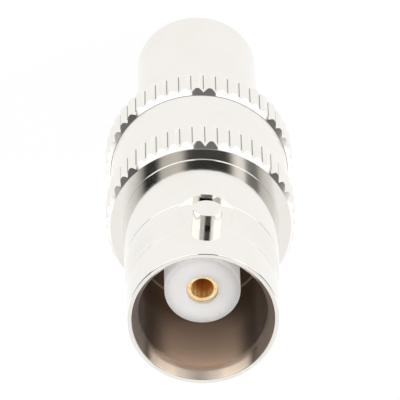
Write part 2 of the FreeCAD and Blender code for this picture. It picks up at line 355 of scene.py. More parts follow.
body = turn_piece("knurled_barrel", [
    (sleeve_radius, 0, 0.15),
    (sleeve_radius, body_rear, 0.08),
    (waist_radius, body_rear, 0.03),
    (knurl_radius, body_rear + band_run, 0.03),
    (knurl_radius, rear_band_front - band_run, 0.03),
    (waist_radius, rear_band_front, 0.05),
    (waist_radius, front_band_rear, 0.05),
    (knurl_radius, front_band_rear + band_run, 0.03),
    (knurl_radius, body_front - face_run, 0.03),
    (face_radius, body_front, 0.03),
    (rear_radius, body_front, 0.04),
    (rear_radius, shell_rear, 0),
    (passage_radius, shell_rear, 0),
    (passage_radius, ferrule_rear, 0),
    (ferrule_collar, ferrule_rear, 0),
    (ferrule_collar, thread_depth, 0),
    (thread_radius, thread_depth, 0),
    (thread_radius, 0.25, 0),
    (thread_radius + 0.25, 0, 0.03),
], steps=184)

# %% [markdown]
# Both bands are knurled straight, for the fingers. Each groove could be a face pushed inwards, but
# one V bar, copied round the axis and cut out of both bands in one pass, lines their grooves up, as
# they are on the real part. The bar's sides flare at the top, which rounds the crests between them.

# %% Knurls
groove_count = 46
groove_depth = 0.19
groove_turn = 0.8
groove_floor = knurl_radius - groove_depth
KNEE_ASIDE = 0.25
KNEE_SHARE = 0.86
FLARE_ASIDE = 0.4
OVER_CREST = 0.012
CLEAR_OF_CREST = 0.3


def make_groove_cutter():
    """Make one V bar and the rest of the ring of bars from it."""
    knee = (KNEE_ASIDE, groove_floor + groove_depth * KNEE_SHARE)
    flare = (FLARE_ASIDE, knurl_radius + OVER_CREST)
    top = (FLARE_ASIDE, knurl_radius + CLEAR_OF_CREST)
    right = [(0.0, groove_floor), knee, flare, top]
    left = [(-across, out) for across, out in reversed(right[1:])]
    outline = right + left
    bpy.ops.object.select_all(action="DESELECT")
    bpy.ops.mesh.primitive_plane_add(size=1)
    bar = start_piece("groove_cutter")
    bpy.ops.object.mode_set(mode="EDIT")
    bpy.ops.mesh.select_all(action="SELECT")
    bpy.ops.mesh.merge(type="CENTER")
    bpy.ops.transform.translate(value=(*outline[0], body_rear - 1))
    for here, there in zip(outline, outline[1:]):
        step = (there[0] - here[0], there[1] - here[1], 0)
        bpy.ops.mesh.extrude_vertices_move(TRANSFORM_OT_translate={"value": step})
    bpy.ops.mesh.select_all(action="SELECT")
    bpy.ops.mesh.edge_face_add()
    pick_vertices(bar, lambda co: abs(abs(co.x) - knee[0]) < SAME_PLACE)
    bpy.ops.mesh.bevel(offset=0.13, segments=5, affect="VERTICES")
    bpy.ops.mesh.select_all(action="SELECT")
    height = body_front - body_rear + 2
    bpy.ops.mesh.extrude_region_move(TRANSFORM_OT_translate={"value": (0, 0, height)})
    bpy.ops.mesh.select_all(action="SELECT")
    bpy.ops.mesh.normals_make_consistent(inside=False)
    bpy.ops.object.mode_set(mode="OBJECT")
    only(bar)
    bar.rotation_euler.z = math.radians(groove_turn)
    bpy.ops.object.transform_apply(location=True, rotation=True, scale=True)
    bpy.ops.object.mode_set(mode="EDIT")
    bpy.ops.mesh.select_all(action="SELECT")
    part_turn = math.tau / groove_count
    bpy.ops.mesh.spin(
        steps=groove_count - 1, dupli=True, angle=part_turn * (groove_count - 1),
        center=(0, 0, 0), axis=(0, 0, 1))
    bpy.ops.object.mode_set(mode="OBJECT")
    return bar


combine(body, make_groove_cutter(), "DIFFERENCE")
soften_edges(body, 0.012, 2, 32)
finish_piece(body)

# %% [markdown]
# The white insulator is a plain turned plug with a soft edge. Its face sits back in the mouth. A
# second one holds the pin in the SMA end. Both are spun, as the metal pieces are, so that they
# fit their seats to the same radius.

# %% Insulators
dielectric_face = dielectric_high[2]
contact_radius = 1.0
collar_radius = 1.5
collar_front = shell_rear + 1.2
dielectric = turn_piece("jack_insulator", [
    (dielectric_radius, dielectric_face, 0.045),
    (contact_radius, dielectric_face, 0.04),
    (contact_radius, collar_front, 0),
    (collar_radius, collar_front, 0),
    (collar_radius, shell_rear, 0),
    (flange_radius, shell_rear, 0),
    (flange_radius, flange_front, 0),
    (dielectric_radius, flange_front, 0),
], steps=160)
finish_piece(dielectric)

reference_plane = ferrule_low[2]
pin_core = 0.635
sleeve_dielectric = turn_piece("plug_insulator", [
    (passage_radius, reference_plane, 0.04),
    (passage_radius, shell_rear, 0),
    (pin_core, shell_rear, 0),
    (pin_core, reference_plane, 0.03),
], steps=128)
finish_piece(sleeve_dielectric)

# %% [markdown]
# The centre contact is a gold-plated tube whose front is split into four spring fingers by two
# thin cuts, which a flat saw blade makes. The pin of the SMA end is pressed into its rear.

# %% Contacts
socket_face = socket_high[2]
socket_bore = 0.69
socket_depth = 5.5
socket_lead_in = 0.05
pin_radius = 0.46
pin_seat = pin_high[2]
socket = turn_piece("gold_socket", [
    (contact_radius, socket_face, 0.06),
    (contact_radius, collar_front, 0),
    (collar_radius, collar_front, 0),
    (collar_radius, shell_rear, 0),
    (pin_radius, shell_rear, 0),
    (pin_radius, pin_seat, 0),
    (0.02, pin_seat, 0),
    (0.02, socket_face - socket_depth, 0),
    (socket_bore, socket_face - socket_depth, 0.1),
    (socket_bore, socket_face - socket_lead_in, 0.02),
    (socket_bore + socket_lead_in, socket_face, 0.02),
], steps=128)
slot_width = 0.02
slot_depth = 4.0
SAW_REACH = 4
for quarter_turn in (0, 90):
    bpy.ops.object.select_all(action="DESELECT")
    bpy.ops.mesh.primitive_cube_add(size=1)
    saw = start_piece("slot_saw")
    saw.scale = (slot_width, SAW_REACH, slot_depth)
    saw.rotation_euler.z = math.radians(quarter_turn)
    saw.location.z = socket_face - slot_depth / 2 + 0.01
    bpy.ops.object.transform_apply(location=True, rotation=True, scale=True)
    combine(socket, saw, "DIFFERENCE")
finish_piece(socket)

pin_tip = pin_low[2]
pin = turn_piece("gold_pin", [
    (0, pin_tip, 0),
    (pin_radius - 0.25, pin_tip, 0.08),
    (pin_radius, pin_tip + 0.25, 0.1),
    (pin_radius, reference_plane, 0),
    (pin_core, reference_plane, 0),
    (pin_core, shell_rear, 0),
    (pin_radius, shell_rear, 0),
    (pin_radius, pin_seat, 0),
    (0, pin_seat, 0),
], steps=96)
finish_piece(pin)

# %% [markdown]
# The SMA ferrule is a thin ring that stands free inside the sleeve. The sleeve's thread is a
# ridge that winds along its wall: a short profile turned by a Screw modifier.

# %% Ferrule and thread
ferrule_nose = 2.295
ferrule = turn_piece("plug_ferrule", [
    (ferrule_nose, reference_plane, 0.04),
    (ferrule_nose, thread_depth, 0),
    (ferrule_collar, thread_depth, 0),
    (ferrule_collar, ferrule_rear, 0),
    (passage_radius, ferrule_rear, 0),
    (passage_radius, reference_plane, 0.04),
], steps=160)
finish_piece(ferrule)

thread_pitch = 25.4 / 36
thread_turns = 6
ridge_height = 0.36
ridge_root = thread_pitch * 0.8
ridge_crest = thread_pitch * 0.25
wall_bite = 0.02
thread_start = 0.55
thread = draw_profile("sleeve_thread", [
    (thread_radius + wall_bite, thread_start, 0),
    (thread_radius - ridge_height, thread_start + (ridge_root - ridge_crest) / 2, 0.03),
    (thread_radius - ridge_height, thread_start + (ridge_root + ridge_crest) / 2, 0.03),
    (thread_radius + wall_bite, thread_start + ridge_root, 0),
])
bpy.ops.object.mode_set(mode="OBJECT")
only(thread)
bpy.ops.object.modifier_add(type="SCREW")
winding = thread.modifiers[-1]
winding.angle = math.tau
winding.screw_offset = thread_pitch
winding.iterations = thread_turns
winding.steps = 96
winding.render_steps = 96
bpy.ops.object.modifier_apply(modifier=winding.name)
bpy.ops.object.mode_set(mode="EDIT")
bpy.ops.mesh.select_all(action="SELECT")
bpy.ops.mesh.remove_doubles(threshold=SAME_PLACE)
bpy.ops.mesh.select_all(action="DESELECT")
bpy.ops.mesh.select_non_manifold()
bpy.ops.mesh.fill()
bpy.ops.mesh.select_all(action="SELECT")
bpy.ops.mesh.normals_make_consistent(inside=False)
bpy.ops.object.mode_set(mode="OBJECT")
finish_piece(thread)

# %% [markdown]
# Each finish is a small recipe of nodes. The parts that several finishes share are made once, as
# groups: the fine rings that a lathe tool leaves, the haze that fingers and air leave, the wear of
# the edges, and a mask that picks out a zone by its distance from the axis and its height.

# %% Shader helpers
NICKEL = (0.892, 0.862, 0.818, 1)


def add_node(tree, kind, name, settings=None, values=None):
    node = tree.nodes.new(kind)
    node.name = name
    node.label = name.replace("_", " ")
    for setting, choice in (settings or {}).items():
        setattr(node, setting, choice)
    for socket, number in (values or {}).items():
        node.inputs[socket].default_value = number
    return node


def link_all(tree, pairs):
    for start, end in pairs:
        tree.links.new(start, end)


def start_group(name, inputs, outputs):
    """Start a node group. Inputs are a name, a socket type and a default; outputs have no default."""
    group = bpy.data.node_groups.new(name, "ShaderNodeTree")
    for label, kind, default in inputs:
        socket = group.interface.new_socket(label, in_out="INPUT", socket_type=kind)
        if default is not None:
            socket.default_value = default
    for label, kind in outputs:
        group.interface.new_socket(label, in_out="OUTPUT", socket_type=kind)
    given = add_node(group, "NodeGroupInput", "inputs")
    result = add_node(group, "NodeGroupOutput", "outputs")
    return group, given, result


def math_node(tree, operation, name, first, second, clamp=False):
    """A Math node. Each operand is an output to link, a number, or None where there is none."""
    node = add_node(tree, "ShaderNodeMath", name, {"operation": operation, "use_clamp": clamp})
    for number, operand in enumerate((first, second)):
        if hasattr(operand, "links"):
            tree.links.new(operand, node.inputs[number])
        elif operand is not None:
            node.inputs[number].default_value = operand
    return node.outputs[0]


def smooth_step(tree, name, value, low, high):
    node = add_node(tree, "ShaderNodeMapRange", name, {"interpolation_type": "SMOOTHSTEP"})
    tree.links.new(value, node.inputs["Value"])
    for label, operand in (("From Min", low), ("From Max", high)):
        if hasattr(operand, "links"):
            tree.links.new(operand, node.inputs[label])
        else:
            node.inputs[label].default_value = operand
    return node.outputs["Result"]


def place_on_lathe(tree):
    """The radius and the height of the shaded point, in millimetres, and the point itself."""
    place = add_node(tree, "ShaderNodeTexCoord", "place")
    scaled = add_node(
        tree, "ShaderNodeVectorMath", "in_millimetres", {"operation": "SCALE"}, {"Scale": 1 / MM})
    split = add_node(tree, "ShaderNodeSeparateXYZ", "split")
    link_all(tree, ((place.outputs["Object"], scaled.inputs[0]), (scaled.outputs[0], split.inputs[0])))
    square_x = math_node(tree, "MULTIPLY", "x_squared", split.outputs["X"], split.outputs["X"])
    square_y = math_node(tree, "MULTIPLY", "y_squared", split.outputs["Y"], split.outputs["Y"])
    total = math_node(tree, "ADD", "radius_squared", square_x, square_y)
    radius = math_node(tree, "SQRT", "radius", total, None)
    return radius, split.outputs["Z"], scaled.outputs[0]


# %% [markdown]
# Turning lines are rings, so their noise is read by radius and height alone and is the same all
# the way round. On a tube they lie side by side along it, and on a face they lie inside one another.

# %% Turning lines
def make_turning_lines():
    group, given, result = start_group(
        "turning_lines",
        [("Lines per mm", "NodeSocketFloat", 9.0), ("Unevenness", "NodeSocketFloat", 0.35)],
        [("Height", "NodeSocketFloat"), ("Bands", "NodeSocketFloat")])
    radius, height, _ = place_on_lathe(group)
    across = math_node(group, "MULTIPLY", "rings_out", radius, given.outputs["Lines per mm"])
    along = math_node(group, "MULTIPLY", "rings_up", height, given.outputs["Lines per mm"])
    rings = add_node(group, "ShaderNodeCombineXYZ", "rings")
    link_all(group, ((across, rings.inputs["X"]), (along, rings.inputs["Y"])))
    flat = {"noise_dimensions": "2D"}
    fine = add_node(group, "ShaderNodeTexNoise", "fine", flat, {"Scale": 1.0, "Detail": 2.0})
    broad = add_node(group, "ShaderNodeTexNoise", "broad", flat, {"Scale": 0.09, "Detail": 1.0})
    link_all(group, ((rings.outputs[0], fine.inputs["Vector"]), (rings.outputs[0], broad.inputs["Vector"])))
    swell = math_node(group, "MULTIPLY", "swell", broad.outputs[0], given.outputs["Unevenness"])
    total = math_node(group, "ADD", "height", fine.outputs[0], swell)
    link_all(group, ((total, result.inputs["Height"]), (broad.outputs[0], result.inputs["Bands"])))
    return group


# %% [markdown]
# Haze is a faint cloudiness on the plating. Soft patches a few millimetres wide carry finer specks.

# %% Haze
def make_haze():
    group, given, result = start_group(
        "haze",
        [("Patch size", "NodeSocketFloat", 0.35), ("Speck size", "NodeSocketFloat", 5.0)],
        [("Haze", "NodeSocketFloat"), ("Specks", "NodeSocketFloat")])
    _, _, place = place_on_lathe(group)
    patches = add_node(group, "ShaderNodeTexNoise", "patches", values={"Detail": 3.0, "Distortion": 0.6})
    specks = add_node(group, "ShaderNodeTexNoise", "specks", values={"Detail": 2.0})
    link_all(group, (
        (place, patches.inputs["Vector"]),
        (place, specks.inputs["Vector"]),
        (given.outputs["Patch size"], patches.inputs["Scale"]),
        (given.outputs["Speck size"], specks.inputs["Scale"])))
    soft = smooth_step(group, "soft_patches", patches.outputs[0], 0.42, 0.72)
    few = smooth_step(group, "few_specks", specks.outputs[0], 0.62, 0.74)
    link_all(group, ((soft, result.inputs["Haze"]), (few, result.inputs["Specks"])))
    return group


# %% [markdown]
# Corners are rubbed first. Pointiness finds them, and a little noise keeps the wear from being even.

# %% Edge wear
def make_edge_wear():
    group, given, result = start_group(
        "edge_wear",
        [("From", "NodeSocketFloat", 0.53), ("To", "NodeSocketFloat", 0.62)],
        [("Wear", "NodeSocketFloat")])
    shape = add_node(group, "ShaderNodeNewGeometry", "shape")
    _, _, place = place_on_lathe(group)
    break_up = add_node(group, "ShaderNodeTexNoise", "break_up", values={"Scale": 2.2, "Detail": 3.0})
    group.links.new(place, break_up.inputs["Vector"])
    corners = smooth_step(
        group, "corners", shape.outputs["Pointiness"], given.outputs["From"], given.outputs["To"])
    patchy = smooth_step(group, "patchy", break_up.outputs[0], 0.3, 0.6)
    wear = math_node(group, "MULTIPLY", "wear", corners, patchy)
    group.links.new(wear, result.inputs["Wear"])
    return group


# %% [markdown]
# A zone is a band of radius and height with soft borders. It marks the satin inside of the jack,
# the face of the body and the bottoms of the knurl's grooves.

# %% Zone
def make_zone():
    group, given, result = start_group(
        "lathe_zone",
        [
            ("Inner radius", "NodeSocketFloat", 0.0),
            ("Outer radius", "NodeSocketFloat", 1.0),
            ("Lower height", "NodeSocketFloat", 0.0),
            ("Upper height", "NodeSocketFloat", 1.0),
            ("Softness", "NodeSocketFloat", 0.05),
        ],
        [("Mask", "NodeSocketFloat")])
    radius, height, _ = place_on_lathe(group)
    softness = given.outputs["Softness"]
    mask = None
    for name, value, low, high in (
        ("radius", radius, given.outputs["Inner radius"], given.outputs["Outer radius"]),
        ("height", height, given.outputs["Lower height"], given.outputs["Upper height"]),
    ):
        above = math_node(group, "SUBTRACT", f"{name}_above", value, low)
        below = math_node(group, "SUBTRACT", f"{name}_below", high, value)
        nearest = math_node(group, "MINIMUM", f"{name}_nearest", above, below)
        share = math_node(group, "DIVIDE", f"{name}_share", nearest, softness)
        share = math_node(group, "ADD", f"{name}_mask", share, 0.5, clamp=True)
        mask = share if mask is None else math_node(group, "MULTIPLY", "both", mask, share)
    group.links.new(mask, result.inputs["Mask"])
    return group


shared = {
    "turning": make_turning_lines(),
    "haze": make_haze(),
    "wear": make_edge_wear(),
    "zone": make_zone(),
}


def add_group(tree, kind, name, values=None):
    node = add_node(tree, "ShaderNodeGroup", name)
    node.node_tree = shared[kind]
    for label, number in (values or {}).items():
        node.inputs[label].default_value = number
    return node


def feed(tree, shader, sockets):
    """Link each output to the shader's socket of that name."""
    for label, output in sockets.items():
        tree.links.new(output, shader.inputs[label])


def add_relief(tree, shader, height, depth):
    """Press fine lines into the surface. Their depth is in metres."""
    relief = add_node(tree, "ShaderNodeBump", "relief", values={"Strength": 1.0, "Distance": depth})
    tree.links.new(height, relief.inputs["Height"])
    feed(tree, shader, {"Normal": relief.outputs["Normal"]})


def add_zone(tree, name, radii, heights, softness):
    zone = add_group(tree, "zone", name, {
        "Inner radius": radii[0], "Outer radius": radii[1],
        "Lower height": heights[0], "Upper height": heights[1], "Softness": softness})
    return zone.outputs["Mask"]


def start_material(name):
    material = bpy.data.materials.new(name)
    material.use_nodes = True
    tree = material.node_tree
    return material, tree, tree.nodes["Principled BSDF"]


def tint(tree, name, mask, colour, changed):
    """Mix a colour into another one by a mask. The colour is an output or four numbers."""
    mix = add_node(tree, "ShaderNodeMix", name, {"data_type": "RGBA"})
    tree.links.new(mask, mix.inputs["Factor"])
    for label, operand in (("A", colour), ("B", changed)):
        socket = next(item for item in mix.inputs if item.name == label and item.type == "RGBA")
        if hasattr(operand, "links"):
            tree.links.new(operand, socket)
        else:
            socket.default_value = operand
    return next(item for item in mix.outputs if item.type == "RGBA")


def blend_values(tree, name, mask, value, changed):
    node = add_node(tree, "ShaderNodeMapRange", name)
    tree.links.new(mask, node.inputs["Value"])
    for label, operand in (("To Min", value), ("To Max", changed)):
        if hasattr(operand, "links"):
            tree.links.new(operand, node.inputs[label])
        else:
            node.inputs[label].default_value = operand
    return node.outputs["Result"]


# %% [markdown]
# Bright nickel is a warm white metal. It is plated over turned brass, so the tool's rings still
# show through it as a faint grain. A polished metal mirrors its room, so its own colour is nearly
# plain, and only haze, specks and rubbed corners change it a little.

# %% Bright nickel
def make_nickel(name, grain=4e-7, lines=9.0):
    """Bright nickel plate. Returns the material, its tree, its shader, and its colour and roughness."""
    material, tree, shader = start_material(name)
    turning = add_group(tree, "turning", "turning_lines", {"Lines per mm": lines})
    haze = add_group(tree, "haze", "haze")
    wear = add_group(tree, "wear", "edge_wear")
    colour = tint(tree, "hazy_colour", haze.outputs["Haze"], NICKEL, (0.875, 0.84, 0.79, 1))
    colour = tint(tree, "rubbed_colour", wear.outputs["Wear"], colour, (0.93, 0.905, 0.86, 1))
    roughness = blend_values(tree, "hazy_roughness", haze.outputs["Haze"], 0.045, 0.075)
    roughness = blend_values(tree, "specked_roughness", haze.outputs["Specks"], roughness, 0.11)
    roughness = blend_values(tree, "rubbed_roughness", wear.outputs["Wear"], roughness, 0.14)
    add_relief(tree, shader, turning.outputs["Height"], grain)
    shader.inputs["Metallic"].default_value = 1.0
    return material, tree, shader, colour, roughness


# %% [markdown]
# Inside the jack the plate is thinner and satin, and the brass under it gives the bore its brown.
# Painted shade darkens it in the depth and at the sides, a painted sheen lightens the far sides,
# a painted reflection makes the flare of the mouth pale and painted highlights make the flare's two
# flanks brightest. A picture could be wrapped round the bore, but zones by depth and by the distance
# from the middle plane keep it sharp at any size. The milled lug and the foot are satin too.

# %% Shell finish
MOUTH_BROWN = (0.72, 0.52, 0.38, 1)
DEPTH_SHADE_BROWN = (0.075, 0.038, 0.02, 1)
FLARE_REFLECTION_TONE = (0.68, 0.6, 0.52, 1)
SIDE_SHADE_BROWN = (0.25, 0.2, 0.16, 1)
FAR_SIDE_SHEEN_BROWN = (0.43, 0.37, 0.33, 1)
FLARE_HIGHLIGHT = (0.88, 0.73, 0.6, 1)
CORNER_SHADE = (0.2, 0.19, 0.18, 1)
side_shade_span = (2.1, 3.2)
far_side_sheen_span = (3.35, 3.75)
flare_starts = (1.1, 1.7)
flare_ends = (3.4, 2.9)
corner_ends = (0.42, 0.32)
flare_radii = (shell_bore + 0.06, shell_bore + 0.6)
brim_radii = (shell_bore - 0.15, shell_bore + 0.6)
foot_radii = (shell_radius, rear_radius + 0.2)
lug_radii = (shell_radius + 0.02, lug_reach - 0.05)
corner_radii = (4.0, rear_radius)

shell_nickel, tree, shader, colour, roughness = make_nickel("shell_nickel")
_, _, place = place_on_lathe(tree)
sideways = add_node(tree, "ShaderNodeSeparateXYZ", "sideways")
tree.links.new(place, sideways.inputs[0])
aside = math_node(tree, "ABSOLUTE", "distance_aside", sideways.outputs["X"], None)

# Painted shade: the bore's brown darkens towards its depth, where shade falls deep in the jack.
depth_shade_mask = add_zone(
    tree, "shaded_depth_of_the_jack", (0, shell_bore + lead_in), (0, dielectric_face + 1.0), 5.2)
bore_brown_with_painted_light = tint(tree, "painted_depth_shade", depth_shade_mask, MOUTH_BROWN, DEPTH_SHADE_BROWN)
# Painted reflection: the flare of the mouth is painted pale, as it mirrors the bright room.
flare_reflection_mask = add_zone(tree, "flare_of_the_mouth", flare_radii, (mouth - 0.75, mouth), 0.1)
bore_brown_with_painted_light = tint(tree, "painted_flare_reflection", flare_reflection_mask, bore_brown_with_painted_light, FLARE_REFLECTION_TONE)
# Painted shade: the bore is painted darker towards its sides.
side_shade_mask = smooth_step(tree, "shaded_sides", aside, *side_shade_span)
bore_brown_with_painted_light = tint(tree, "painted_side_shade", side_shade_mask, bore_brown_with_painted_light, SIDE_SHADE_BROWN)
# Painted sheen: the far sides of the bore are painted lighter again.
far_side_sheen_mask = smooth_step(tree, "sheen_on_the_far_sides", aside, *far_side_sheen_span)
bore_brown_with_painted_light = tint(tree, "painted_far_side_sheen", far_side_sheen_mask, bore_brown_with_painted_light, FAR_SIDE_SHEEN_BROWN)
# Painted highlights: the flare's two flanks are painted brightest.
past_middle = smooth_step(tree, "flare_starts", aside, *flare_starts)
before_side = smooth_step(tree, "flare_ends", aside, *flare_ends)
flank_highlight_mask = math_node(tree, "MULTIPLY", "flare_within", flare_reflection_mask, past_middle)
flank_highlight_mask = math_node(tree, "MULTIPLY", "painted_flank_highlight", flank_highlight_mask, before_side)
bore_brown_with_painted_light = tint(tree, "painted_flare_highlight", flank_highlight_mask, bore_brown_with_painted_light, FLARE_HIGHLIGHT)
bore_mask = add_zone(
    tree, "inside_the_jack", (0, shell_bore + lead_in + 0.02), (0, mouth - 0.02), 0.06)
# The bore's brown, with its painted shade, sheen, reflection and highlights, goes inside the jack only.
colour = tint(tree, "bore_brown_and_painted_light", bore_mask, colour, bore_brown_with_painted_light)

# Painted shade: the corner behind each lug is painted dark, where the shell mirrors a dark gap.
corner_shade_mask = add_zone(
    tree, "corner_behind_the_lug", corner_radii, (mouth - 6.95, mouth - 6.7), 0.03)
near_middle = smooth_step(tree, "in_line_with_the_lug", aside, *corner_ends)
corner_shade_mask = math_node(tree, "MULTIPLY", "painted_corner_shade", corner_shade_mask, near_middle)
colour = tint(tree, "corner_shade_colour", corner_shade_mask, colour, CORNER_SHADE)

foot_mask = add_zone(
    tree, "foot_of_the_shell", foot_radii, (body_front - 0.1, body_front + 2.0), 0.4)
lug_mask = add_zone(tree, "milled_lug", lug_radii, (lug_height - 1, lug_height + 1), 0.02)
brim_mask = add_zone(tree, "satin_brim", brim_radii, (mouth - 1.1, mouth - 0.02), 0.3)
for name, mask, rough in (
    ("foot_roughness", foot_mask, 0.13),
    ("lug_roughness", lug_mask, 0.2),
    ("bore_roughness", bore_mask, 0.26),
    ("brim_roughness", brim_mask, 0.38),
):
    roughness = blend_values(tree, name, mask, roughness, rough)
metallic = blend_values(tree, "bore_film", bore_mask, 1.0, 0.88)
feed(tree, shader, {"Base Color": colour, "Roughness": roughness, "Metallic": metallic})
print("shell_nickel", len(tree.nodes), "nodes")

# %% [markdown]
# The bottoms of the knurl's grooves and the line at the foot of the rear band get painted shade,
# as shade falls into these narrow creases, and they are rougher. The body's front face is turned
# last and keeps the tool's satin. These zones follow the same named sizes as the shapes do.

# %% Body finish
GROOVE_SHADE_GREY = (0.3, 0.28, 0.25, 1)
groove_radii = (groove_floor - 0.05, groove_floor + 0.02)
GROOVE_END = 0.15
LINE_SOFTNESS = 0.02

body_nickel, tree, shader, colour, roughness = make_nickel("body_nickel")
# Painted shade: the groove bottoms and the foot of the rear band are painted dark.
groove_shade_masks = [
    add_zone(tree, name, groove_radii, (band_start + band_run, band_end - GROOVE_END), LINE_SOFTNESS)
    for name, band_start, band_end in (
        ("front_grooves", front_band_rear, body_front - face_run),
        ("rear_grooves", body_rear, rear_band_front - band_run))
]
groove_shade_mask = math_node(tree, "MAXIMUM", "shaded_groove_bottoms", *groove_shade_masks)
foot_shade_line = add_zone(
    tree, "shaded_foot_of_the_rear_band", (waist_radius - 0.06, waist_radius + 0.06),
    (rear_band_front - 0.04, rear_band_front + 0.02), LINE_SOFTNESS)
painted_crease_shade = math_node(tree, "MAXIMUM", "painted_shade_lines", groove_shade_mask, foot_shade_line)
face_mask = add_zone(
    tree, "front_face", (0, knurl_radius), (body_front - 0.02, body_front + 0.1), LINE_SOFTNESS)
colour = tint(tree, "painted_groove_shade", painted_crease_shade, colour, GROOVE_SHADE_GREY)
roughness = blend_values(tree, "groove_roughness", painted_crease_shade, roughness, 0.4)
roughness = blend_values(tree, "face_roughness", face_mask, roughness, 0.12)
feed(tree, shader, {"Base Color": colour, "Roughness": roughness})
print("body_nickel", len(tree.nodes), "nodes")

plug_nickel, tree, shader, colour, roughness = make_nickel("plug_nickel", grain=6e-7, lines=12.0)
feed(tree, shader, {"Base Color": colour, "Roughness": roughness})
print("plug_nickel", len(tree.nodes), "nodes")

# %% [markdown]
# The insulators are turned from a waxy white fluoropolymer. A plain white would look like chalk.
# Light goes a little way into the real stuff, so subsurface scattering softens its edges, and its
# walls get a painted glow for the light bounced onto them in the shell. A dull tool leaves soft rings.

# %% White fluoropolymer
fluoropolymer, tree, shader = start_material("white_fluoropolymer")
turning = add_group(tree, "turning", "tool_rings", {"Lines per mm": 5.0, "Unevenness": 0.8})
haze = add_group(tree, "haze", "cloud", {"Patch size": 0.5, "Speck size": 4.0})
colour = tint(tree, "clouded", haze.outputs["Haze"], (0.885, 0.9, 0.905, 1), (0.86, 0.868, 0.872, 1))
colour = tint(tree, "ringed", turning.outputs["Bands"], (0.93, 0.935, 0.935, 1), colour)
roughness = blend_values(tree, "waxy", haze.outputs["Specks"], 0.38, 0.5)
add_relief(tree, shader, turning.outputs["Height"], 1.5e-6)
# Painted light: the insulator's walls glow, in place of the light bounced onto them inside the shell.
glowing_wall_mask = add_zone(
    tree, "walls", (dielectric_radius - 0.1, dielectric_radius + 0.1),
    (bore_floor, dielectric_face - 0.01), 0.06)
glow = tint(tree, "painted_wall_light", glowing_wall_mask, (0, 0, 0, 1), (0.32, 0.315, 0.31, 1))
feed(tree, shader, {"Base Color": colour, "Roughness": roughness, "Emission Color": glow})
shader.inputs["Emission Strength"].default_value = 1.0
shader.inputs["Subsurface Weight"].default_value = 0.9
shader.inputs["Subsurface Radius"].default_value = (1.0, 1.0, 1.0)
shader.inputs["Subsurface Scale"].default_value = 0.0022
print("white_fluoropolymer", len(tree.nodes), "nodes")

# %% [markdown]
# Gold plate is thin and soft. It is paler where a plug has rubbed it and redder in the bore, where
# light bounces from wall to wall. Painted highlights run down the bore from its brim as a few pale
# streaks, and they are noise read across the axis only, so that they stay straight.

# %% Contact gold
contact_gold, tree, shader = start_material("contact_gold")
turning = add_group(tree, "turning", "turning_lines", {"Lines per mm": 14.0})
haze = add_group(tree, "haze", "haze", {"Patch size": 1.4, "Speck size": 9.0})
wear = add_group(tree, "wear", "edge_wear", {"From": 0.52, "To": 0.6})
bore_radii = (0, socket_bore + 0.05)
bore_mask = add_zone(tree, "inside_the_socket", bore_radii, (shell_rear, socket_face - 0.1), 0.08)
colour = tint(tree, "uneven_plate", haze.outputs["Haze"], (1.0, 0.75, 0.38, 1), (0.98, 0.66, 0.27, 1))
colour = tint(tree, "rubbed", wear.outputs["Wear"], colour, (1.0, 0.87, 0.6, 1))
colour = tint(tree, "deep_gold", bore_mask, colour, (1.0, 0.58, 0.15, 1))
_, _, place = place_on_lathe(tree)
# Painted highlights: pale streaks near the bore's brim, with less metal so that they stay bright.
streaks = add_node(
    tree, "ShaderNodeTexNoise", "streaks", {"noise_dimensions": "2D"}, {"Scale": 5.5, "Detail": 1.0})
tree.links.new(place, streaks.inputs["Vector"])
streak_highlight_mask = smooth_step(tree, "streaky", streaks.outputs[0], 0.46, 0.54)
brim_mask = add_zone(tree, "brim_of_the_bore", bore_radii, (socket_face - 0.75, socket_face), 0.35)
streak_highlight_mask = math_node(tree, "MULTIPLY", "painted_streak_highlights", streak_highlight_mask, brim_mask)
colour = tint(tree, "painted_gold_highlights", streak_highlight_mask, colour, (1.0, 0.88, 0.5, 1))
roughness = blend_values(tree, "uneven_polish", haze.outputs["Haze"], 0.14, 0.22)
roughness = blend_values(tree, "bore_polish", bore_mask, roughness, 0.3)
add_relief(tree, shader, turning.outputs["Height"], 3e-7)
metallic = blend_values(tree, "bore_glow", bore_mask, 1.0, 0.5)
metallic = blend_values(tree, "streak_highlight_glow", streak_highlight_mask, metallic, 0.1)
feed(tree, shader, {"Base Color": colour, "Roughness": roughness, "Metallic": metallic})
print("contact_gold", len(tree.nodes), "nodes")


# %% [markdown]
# The jack's shell and the body are plated in one bath but look different, because they are tooled
# differently and carry different painted shade. So the shell, the body and the small plug pieces
# each wear a nickel of their own.

# %% Dress the pieces
def dress(piece, material):
    piece.data.materials.clear()
    piece.data.materials.append(material)
    print(piece.name, "wears", material.name)


dress(shell, shell_nickel)
dress(body, body_nickel)
for piece in (ferrule, thread):
    dress(piece, plug_nickel)
for piece in (socket, pin):
    dress(piece, contact_gold)
for piece in (dielectric, sleeve_dielectric):
    dress(piece, fluoropolymer)

# %% [markdown]
# Each dressed piece rides on the part's one body and takes the place of the frame's plain solid.
# The thread is the only piece with no solid of its own, so it rides along and replaces nothing.

# %% Join to the frame
for piece, node in (
    (shell, "bnc_shell"),
    (body, "knurled_body"),
    (ferrule, "sma_ferrule"),
    (dielectric, "bnc_insulator"),
    (sleeve_dielectric, "sma_insulator"),
    (socket, "contact_socket"),
    (pin, "contact_pin"),
):
    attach(piece, "root")
    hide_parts(node)
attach(thread, "root")

# %% [markdown]
# A mirror finish is a picture of the room. The product was shot in a white tent with a few dark
# gaps: straight ahead, where the lens looks in, and at either side between the tent's panels.
# The gaps are wedges round the part's axis. Each is told by the facing that would mirror it to the
# lens, which lies halfway between the mirrored direction and the lens. Only mirrored rays see this
# room. The lens sees plain white, and matt surfaces get an even light.

# %% Room
HALF_TURN = 180.0


